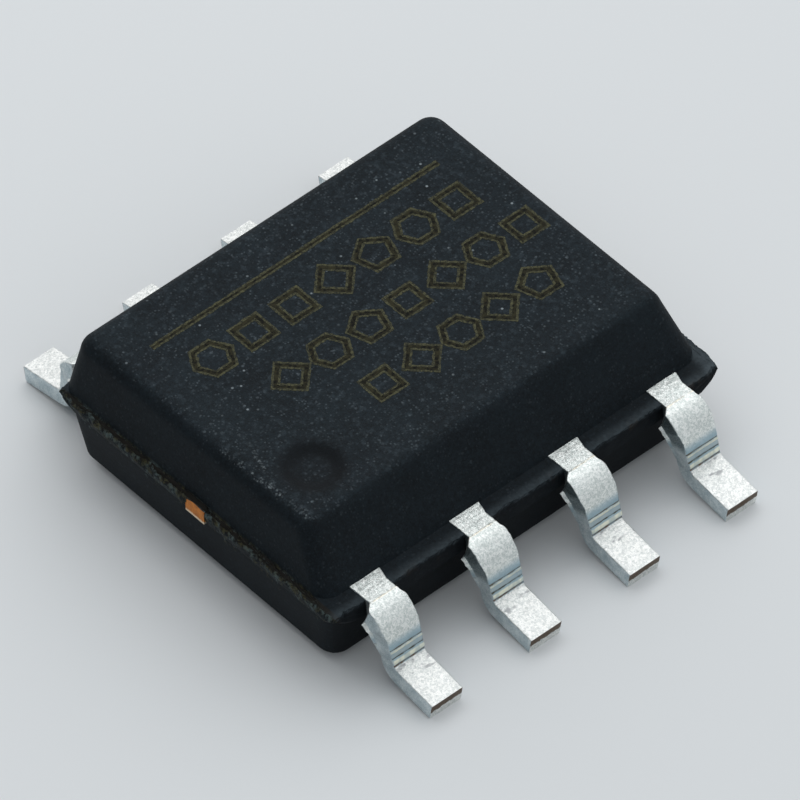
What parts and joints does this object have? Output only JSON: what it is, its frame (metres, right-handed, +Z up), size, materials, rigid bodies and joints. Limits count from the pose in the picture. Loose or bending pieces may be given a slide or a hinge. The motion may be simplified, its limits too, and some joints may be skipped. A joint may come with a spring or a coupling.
{
  "type": "switching regulator",
  "caption": "Small-outline surface-mount switching regulator: black moulded body with a bevelled pin-one edge and dimple, tinned gull-wing leads and a bare heat pad underneath.",
  "frame": {"origin": "on the board, under the middle of the body", "axes": "+X along the rows of leads with pin one at the front left, +Y towards the back row, +Z up"},
  "size_m": [0.005, 0.006, 0.0016],
  "materials": {
    "epoxy": "fine matte moulded surface with pale filler specks",
    "tinned_lead": "matte tin plate over stamped copper",
    "pad_copper": "copper, tinned on the bare underside and raw where the tie bar is cut",
    "die_glue": "silver-filled epoxy, dull grey",
    "silicon": "polished dark grey with fine circuit blocks",
    "bond_copper": "drawn bare copper wire"
  },
  "bodies": {
    "root": {"mold_body": "epoxy", "die_pad": "pad_copper", "die_attach": "die_glue", "die": "silicon", "lead_1": "tinned_lead", "lead_2": "tinned_lead", "lead_3": "tinned_lead", "lead_4": "tinned_lead", "lead_5": "tinned_lead", "lead_6": "tinned_lead", "lead_7": "tinned_lead", "lead_8": "tinned_lead", "bond_wire_1": "bond_copper", "bond_wire_2": "bond_copper", "bond_wire_3": "bond_copper", "bond_wire_4": "bond_copper", "bond_wire_5": "bond_copper", "bond_wire_6": "bond_copper", "bond_wire_7": "bond_copper", "bond_wire_8": "bond_copper", "bond_wire_9": "bond_copper", "bond_wire_10": "bond_copper"}
  },
  "joints": []
}
